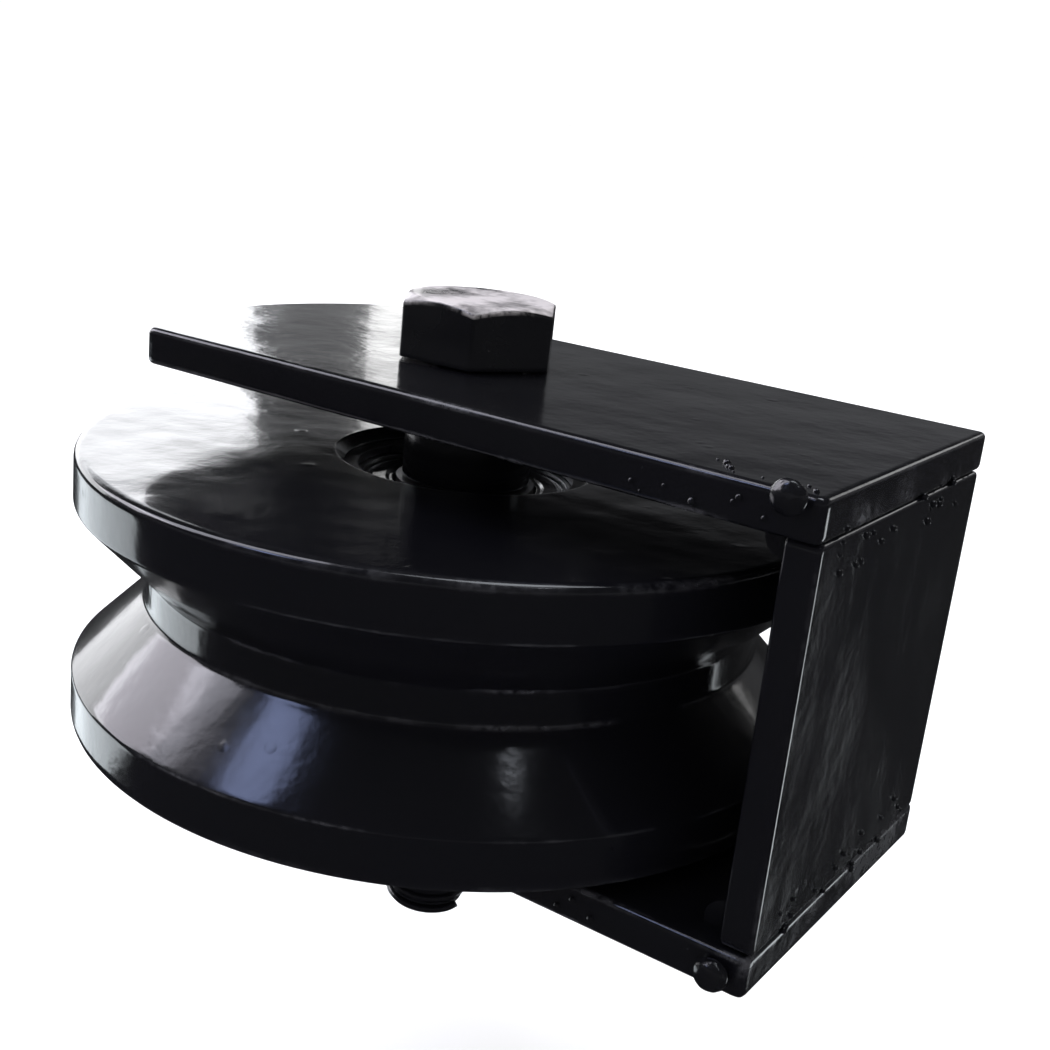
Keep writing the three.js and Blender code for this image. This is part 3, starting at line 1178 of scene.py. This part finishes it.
@dataclass
class AxleSet:
    """The bolt with its nut, washers, distance bushes and the sleeve between the bearings."""

    shop: Paintshop
    axle_x: float = -60.0
    shank: float = 5.9
    core: float = 5.15
    across: float = 19.0
    pitch: float = 1.75

    def heights(self, node: str) -> tuple[float, float]:
        """Lowest and highest point of a solid, in millimetres."""
        low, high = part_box(node)
        return low.z / MM, high.z / MM

    def ring_piece(
        self,
        name: str,
        node: str,
        inner: float,
        outer: float,
        material: Material,
        soft: float = 0.3,
    ) -> Object:
        """A plain ring with softened edges in the place of a solid.

        Args:
            name: the piece's name.
            node: the solid it stands for.
            inner: bore radius.
            outer: outside radius.
            material: its finish.
            soft: radius of its edges.

        Returns:
            The piece.
        """
        low, high = self.heights(node)
        outline = fillet(square(inner, outer, low, high, soft), 3, 0.2)
        piece = revolve(outline, self.axle_x, 96).build(name, material)
        slot = Slot.STEEL if material == self.shop.steel else Slot.PAINT
        return settle(piece, Body.BRACKET, slot, node)

    def bolt(self) -> Object:
        """Hex head, shank and threaded end, joined into one piece."""
        low, high = self.heights("axle_bolt")
        head_low = high - 7.8
        head = HexBody(self.across, head_low, high, 0.03, self.axle_x, cut_below=False).shell()
        part = head.build("hex_bolt", self.shop.head)
        turns = 5.0
        thread_top = low + 1.0 + turns * self.pitch
        outline = fillet(
            [
                (0.001, low, 0.0),
                (4.4, low, 0.3),
                (self.core, low + 1.1, 0.3),
                (self.core, thread_top, 0.0),
                (self.shank, thread_top + 0.6, 0.0),
                (self.shank, head_low + 0.5, 0.0),
                (0.001, head_low + 0.5, 0.0),
            ],
            3,
            0.2,
        )
        shank = revolve(outline, self.axle_x, 64).build("bolt_shank", self.shop.paint)
        ridge = thread_recipe().cast(
            "bolt_thread",
            {
                "Foot": metres(self.axle_x, 0.0, low + 0.7),
                "Radius": 5.25 * MM,
                "Ridge": 0.62 * MM,
                "Pitch": self.pitch * MM,
                "Turns": turns,
                "Finish": self.shop.paint,
            },
        )
        join([part, shank, ridge])
        return settle(part, Body.BRACKET, Slot.PAINT, "axle_bolt")

    def nut(self) -> Object:
        """The nut, chamfered at both ends."""
        low, high = self.heights("nut")
        shell = HexBody(self.across, low, high, 0.3, self.axle_x, bore=6.0).shell()
        piece = shell.build("hex_nut", self.shop.paint)
        return settle(piece, Body.BRACKET, Slot.PAINT, "nut")

    def spring_washer(self) -> Object:
        """The split washer: a square bar wound almost once round, its ends a little apart."""
        low, high = self.heights("spring_washer")
        shell = Shell()
        inner, outer, steps, slit = 6.3, 10.1, 90, 0.1
        rise = 0.35
        bar = high - low - rise
        rows = []
        for k in range(steps + 1):
            t = k / steps
            a = slit + (TURN - 2 * slit) * t
            z = low + rise * t
            section = fillet(square(inner, outer, z, z + bar, 0.25), 2, 0.2)
            rows.append(stand(shell, section, self.axle_x, a))
        shell.loft(rows)
        shell.cap(rows[0])
        shell.cap(rows[-1])
        piece = shell.build("split_washer", self.shop.paint)
        return settle(piece, Body.BRACKET, Slot.PAINT, "spring_washer")

    def build(self) -> None:
        """Makes every piece on the bolt."""
        self.bolt()
        self.nut()
        self.spring_washer()
        self.ring_piece("flat_washer", "plain_washer", 6.5, 11.9, self.shop.paint, 0.45)
        self.ring_piece("distance_bush_upper", "spacer_upper", 6.1, 8.5, self.shop.paint)
        self.ring_piece("distance_bush_lower", "spacer_lower", 6.1, 8.5, self.shop.paint)
        self.ring_piece("bearing_sleeve", "inner_sleeve", 6.1, 8.4, self.shop.steel)


def join(objects: Sequence[Object]) -> None:
    """Joins meshes into the first object, which keeps its name and gains their materials."""
    first = objects[0]
    bm = bmesh.new()
    bm.from_mesh(first.data)
    for extra in objects[1:]:
        index = {m.name: i for i, m in enumerate(first.data.materials)}
        names = [m.name for m in extra.data.materials]
        for name, material in zip(names, extra.data.materials):
            if name not in index:
                first.data.materials.append(material)
                index[name] = len(first.data.materials) - 1
        start = len(bm.faces)
        bm.from_mesh(extra.data)
        bm.faces.ensure_lookup_table()
        for face in bm.faces[start:]:
            face.material_index = index[names[face.material_index]]
        bpy.data.objects.remove(extra)
    bm.to_mesh(first.data)
    bm.free()


# ---- Wheel --------------------------------------------------------------------------------
@dataclass
class GrooveWheel:
    """The wheel with its two rims, 90 degree groove and stepped bore, and its circlips."""

    shop: Paintshop
    axle_x: float = -60.0
    mid: float = -3.25
    radius: float = 50.0
    height: float = 35.5
    rim: float = 6.5
    groove: float = 9.0
    edge: float = 1.2
    seat: float = 16.1
    clip_face: float = 14.85
    segments: int = 192

    def half_outline(self) -> list[Point3]:
        """Corners of the upper half as radius, height over the middle and rounding."""
        half = self.height / 2
        cone = half - self.rim
        return [
            (13.8, 4.6, 0.3),
            (self.seat, 4.6, 0.15),
            (self.seat, self.clip_face, 0.0),
            (16.95, self.clip_face, 0.0),
            (16.95, self.clip_face + 1.3, 0.0),
            (self.seat, self.clip_face + 1.3, 0.08),
            (self.seat, half - 1.3, 0.1),
            (self.seat + 1.3, half, 0.3),
            (self.radius, half, self.edge),
            (self.radius, cone, 0.7),
            (self.radius - self.groove, cone - self.groove, 1.2),
        ]

    def wheel(self) -> Object:
        """The turned wheel."""
        upper = self.half_outline()
        lower = [(r, -z, soft) for r, z, soft in reversed(upper)]
        rounded = fillet(upper + lower, 5, 0.4)
        outline = [(r, z + self.mid, w) for r, z, w in rounded]
        turned = revolve(outline, self.axle_x, self.segments, 0.7)
        piece = turned.build("grooved_wheel", self.shop.wheel)
        return settle(piece, Body.WHEEL, Slot.PAINT, "wheel")

    def circlip(self, side: Side) -> Object:
        """The retaining ring in the bore's groove, open between its two lugs."""
        low, high = (v.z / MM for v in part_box(f"circlip_{side.word}"))
        shell = Shell()
        outer, inner, lug, opening, steps = 16.75, 14.3, 12.25, 0.16, 84
        rows = []
        for k in range(steps + 1):
            a = opening + (TURN - 2 * opening) * k / steps
            near = min(a, TURN - a)
            blend = min(1.0, max(0.0, (0.5 - near) / 0.12))
            r_in = inner + (lug - inner) * blend
            turned = a + math.pi * 0.8
            section = fillet(square(r_in, outer, low, high, 0.15), 2, 0.1)
            rows.append(stand(shell, section, self.axle_x, turned))
        shell.loft(rows)
        shell.cap(rows[0])
        shell.cap(rows[-1])
        piece = shell.build(f"retaining_ring_{side.word}", self.shop.spring)
        return settle(piece, Body.WHEEL, Slot.SPRING, f"circlip_{side.word}")

    def build(self) -> None:
        """Makes the wheel and both circlips."""
        self.wheel()
        for side in Side:
            self.circlip(side)


# ---- Bearings -----------------------------------------------------------------------------
@dataclass
class Bearing:
    """One deep-groove ball bearing: two rings, two shields, a cage and seven balls."""

    shop: Paintshop
    side: Side
    axle_x: float = -60.0
    wheel_mid: float = -3.25
    middle: float = 9.8
    bore: float = 6.0
    outside: float = 16.0
    width: float = 10.0
    pitch: float = 11.0
    ball: float = 2.95
    race: float = 3.06
    count: int = 7

    @property
    def mid(self) -> float:
        """Height of the bearing's middle plane."""
        return self.wheel_mid + self.side.value * self.middle

    def race_arc(self, shoulder: float, outward: int) -> list[Point3]:
        """Points of the ball race on one ring.

        Args:
            shoulder: radius of the ring beside the race.
            outward: 1 for the outer ring, -1 for the inner.

        Returns:
            Radius, height and wear, from top to bottom.
        """
        reach = math.acos(abs(shoulder - self.pitch) / self.race)
        points = []
        for k in range(13):
            a = reach - 2 * reach * k / 12
            radius = self.pitch + outward * self.race * math.cos(a)
            points.append((radius, self.mid + self.race * math.sin(a), 0.0))
        return points

    def rings(self) -> None:
        """Outer and inner ring with their races."""
        half = self.width / 2
        low, high = self.mid - half, self.mid + half
        seat, seat_z = 13.6, half - 1.05
        word, steel = self.side.word, self.shop.steel
        out_land, in_land = 12.75, 9.25
        rim = [
            (seat, low, 0.05),
            (self.outside, low, 0.45),
            (self.outside, high, 0.45),
            (seat, high, 0.05),
        ]
        outer = [
            *fillet(rim, 3, 0.2),
            (seat, self.mid + seat_z, 0.0),
            (out_land, self.mid + seat_z, 0.0),
            *self.race_arc(out_land, 1),
            (out_land, self.mid - seat_z, 0.0),
            (seat, self.mid - seat_z, 0.0),
        ]
        piece = revolve(outer, self.axle_x, 120).build(f"outer_ring_{word}", steel)
        settle(piece, Body.WHEEL, Slot.STEEL, f"bearing_{word}_outer_ring")
        lands = [(in_land, high, 0.0), (in_land, low, 0.0)]
        bore = [(self.bore, low, 0.3), (self.bore, high, 0.3)]
        inner = [
            lands[0],
            *self.race_arc(in_land, -1),
            lands[1],
            *fillet(bore + lands, 3, 0.2)[:-2],
        ]
        piece = revolve(inner, self.axle_x, 96).build(f"inner_ring_{word}", steel)
        settle(piece, Body.BRACKET, Slot.STEEL, f"bearing_{word}_inner_ring")

    def shields(self) -> None:
        """The pressed shields, each with a rolled step and a dished middle."""
        for place in ("outside", "inside"):
            node = f"bearing_{self.side.word}_{place}_shield"
            low, high = (v.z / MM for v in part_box(node))
            out = self.side.value * (1 if place == "outside" else -1)
            step = 0.12 * out
            base = (low + high) / 2
            t = 0.13
            edge = [(9.65, -1), (10.2, -1), (10.6, 1), (12.4, 1), (12.8, -1), (13.25, -1)]
            upper = [(r, base + t + step * s, 0.0) for r, s in edge]
            lower = [(r, base - t + step * s, 0.0) for r, s in reversed(edge)]
            finish = self.shop.paint if place == "outside" else self.shop.steel
            outline = fillet([(r, z, 0.08) for r, z, _ in upper + lower], 2, 0.1)
            turned = revolve(outline, self.axle_x, 96, 0.3)
            piece = turned.build(f"shield_{place}_{self.side.word}", finish)
            settle(piece, Body.WHEEL, Slot.STEEL, node)

    def balls(self, recipe: NodeRecipe) -> None:
        """The balls."""
        body = Body.CAGE_UPPER if self.side is Side.UPPER else Body.CAGE_LOWER
        piece = recipe.cast(
            f"ball_set_{self.side.word}",
            {
                "Centre": metres(self.axle_x, 0.0, self.mid),
                "Pitch Radius": self.pitch * MM,
                "Ball Radius": self.ball * MM,
                "Count": self.count,
                "Finish": self.shop.ball,
            },
        )
        nodes = [f"bearing_{self.side.word}_ball_{i + 1}" for i in range(self.count)]
        settle(piece, body, Slot.BALL, *nodes)

    def build(self, frame: dict, recipe: NodeRecipe) -> None:
        """Makes the bearing.

        Args:
            frame: the loaded frame.
            recipe: the ball set's recipe.
        """
        self.rings()
        self.shields()
        self.balls(recipe)
        cage = frame["nodes"][f"bearing_{self.side.word}_cage"]
        cage.data.materials.clear()
        cage.data.materials.append(self.shop.steel)
        LOG.info("%s keeps its solid's shape", cage.name)


# ---- Studio -------------------------------------------------------------------------------
@dataclass(frozen=True)
class SoftBox:
    """A rectangular lamp on a sphere round the object.

    Fields:
        bearing: degrees from +X towards +Y.
        rise: degrees above the horizon.
        wide: width in degrees.
        tall: height in degrees.
        glow: brightness of its face.
        tint: its colour.
    """

    name: str
    bearing: float
    rise: float
    wide: float
    tall: float
    glow: float
    tint: Point3 = (1.0, 1.0, 1.0)
    away: float = 1.6

    def build(self, centre: Vector) -> Object:
        """Hangs the lamp.

        Args:
            centre: the point it faces.

        Returns:
            The lamp.
        """
        a, e = math.radians(self.bearing), math.radians(self.rise)
        toward = Vector((math.cos(a) * math.cos(e), math.sin(a) * math.cos(e), math.sin(e)))
        data = bpy.data.lights.new(self.name, "AREA")
        data.shape = "RECTANGLE"
        data.size = 2 * self.away * math.tan(math.radians(self.wide) / 2)
        data.size_y = 2 * self.away * math.tan(math.radians(self.tall) / 2)
        data.color = self.tint
        data.energy = self.glow * data.size * data.size_y * math.pi
        lamp = new_object(self.name, data)
        lamp.location = centre + toward * self.away
        lamp.rotation_euler = toward.to_track_quat("Z", "Y").to_euler()
        lamp.visible_camera = False
        return lamp


@dataclass
class Studio:
    """Pale floor, pale surroundings, soft boxes and the camera."""

    floor_z: float = -90.0
    centre: Point3 = (-60.0, 0.0, 0.0)
    eye: Point3 = (47.2, -149.47, 61.35)
    forward: Point3 = (-0.5209, 0.8034, -0.2885)
    right: Point3 = (0.8173, 0.5669, 0.1031)
    lens: float = 48.76
    gloom: float = 0.025
    haze: float = 0.14
    pale: float = 1.05

    def floor(self) -> None:
        """The pale floor."""
        shell = Shell()
        count, reach = 64, 9000.0
        rim = [
            (
                reach * math.cos(TURN * k / count),
                reach * math.sin(TURN * k / count),
                self.floor_z,
            )
            for k in range(count)
        ]
        shell.cap(shell.ring(rim))
        material, board, shader = new_material("pale_floor")
        where = board.add("ShaderNodeTexCoord").outputs["Object"]
        tone = board.ramp(board.noise(where, 3.0, 3.0), 0.3, 0.7, 0.955, 0.975)
        board.feed(shader, {"Base Color": tone})
        shader.inputs["Roughness"].default_value = 0.9
        shader.inputs["Specular IOR Level"].default_value = 0.0
        piece = shell.build("studio_floor", material)
        piece.visible_glossy = False

    def surroundings(self) -> None:
        """Pale surroundings for sight and soft light, dim ones in mirror reflections."""
        world = bpy.data.worlds.new("studio")
        bpy.context.scene.world = world
        world.use_nodes = True
        board = NodeBoard(world.node_tree)
        world.node_tree.nodes.clear()
        path = board.add("ShaderNodeLightPath").outputs["Is Glossy Ray"]
        pale = board.add("ShaderNodeBackground", {0: (1.0, 1.0, 1.0, 1.0), 1: self.pale})
        sky = board.add("ShaderNodeTexCoord").outputs["Generated"]
        height = board.add("ShaderNodeSeparateXYZ", {0: sky}).outputs[2]
        low = board.ramp(height, -0.02, 0.1, self.gloom, self.haze)
        high = board.ramp(height, 0.19, 0.3, 0.0, self.haze - self.gloom)
        level = board.math("SUBTRACT", low, high)
        dim = board.add("ShaderNodeBackground", {0: (0.93, 0.95, 1.0, 1.0), 1: level})
        both = board.add("ShaderNodeMixShader", {0: path, 1: pale.outputs[0], 2: dim.outputs[0]})
        board.add("ShaderNodeOutputWorld", {0: both.outputs[0]})

    def boxes(self) -> list[SoftBox]:
        """The lamps that the glossy paint mirrors."""
        return [
            SoftBox("wall_left", 164.0, 9.0, 56.0, 22.0, 3.0, (0.96, 0.97, 1.0)),
            SoftBox("wall_left_high", 155.0, 22.0, 28.0, 8.0, 1.6, (0.93, 0.95, 1.0)),
            SoftBox("bright_strip", 129.6, 9.0, 2.0, 14.0, 2.2),
            SoftBox("grey_panel", 132.7, 8.0, 4.0, 12.0, 0.12),
            SoftBox("window_front_left", -124.0, 49.0, 11.0, 11.0, 5.5, (0.48, 0.58, 1.0)),
            SoftBox("curtain_left", 194.0, 26.0, 24.0, 20.0, 4.2, (0.93, 0.9, 1.0)),
            SoftBox("lamp_front", -16.2, 61.4, 3.4, 2.6, 16.0, (0.85, 0.9, 1.0)),
            SoftBox("overhead", 75.0, 79.0, 26.0, 22.0, 4.0, (0.88, 0.93, 1.0)),
            SoftBox("back_panel", 76.0, 20.0, 14.0, 10.0, 1.3),
            SoftBox("window_high_left", -160.0, 51.0, 26.0, 40.0, 3.6, (0.88, 0.88, 1.0)),
            SoftBox("low_left", 184.0, -20.0, 40.0, 16.0, 2.2, (0.88, 0.95, 1.0)),
            SoftBox("low_right", 50.0, -22.0, 18.0, 20.0, 3.2, (0.9, 0.96, 1.0)),
        ]

    def camera(self) -> None:
        """The camera."""
        data = bpy.data.cameras.new("camera")
        data.lens = self.lens
        data.sensor_width = 36.0
        data.clip_start = 0.005
        data.dof.use_dof = False
        camera = new_object("camera", data)
        ahead = Vector(self.forward).normalized()
        right = Vector(self.right)
        right = (right - ahead * right.dot(ahead)).normalized()
        up = right.cross(ahead)
        turn = Matrix((right, up, -ahead)).transposed()
        camera.matrix_world = Matrix.Translation(Vector(metres(*self.eye))) @ turn.to_4x4()
        bpy.context.scene.camera = camera

    def build(self) -> None:
        """Sets up the whole studio."""
        view = bpy.context.scene.view_settings
        view.view_transform = "Standard"
        view.look = "None"
        self.camera()
        self.surroundings()
        self.floor()
        for box in self.boxes():
            box.build(Vector(metres(*self.centre)))


def main() -> None:
    """Builds the gate wheel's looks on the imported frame."""
    logging.basicConfig(level=logging.INFO, format="%(name)s: %(message)s")
    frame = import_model()
    shop = Paintshop.open()
    Studio().build()
    Bracket(shop).build()
    AxleSet(shop).build()
    GrooveWheel(shop).build()
    recipe = ball_set_recipe()
    for side in Side:
        Bearing(shop, side).build(frame, recipe)


if __name__ == "__main__":
    main()
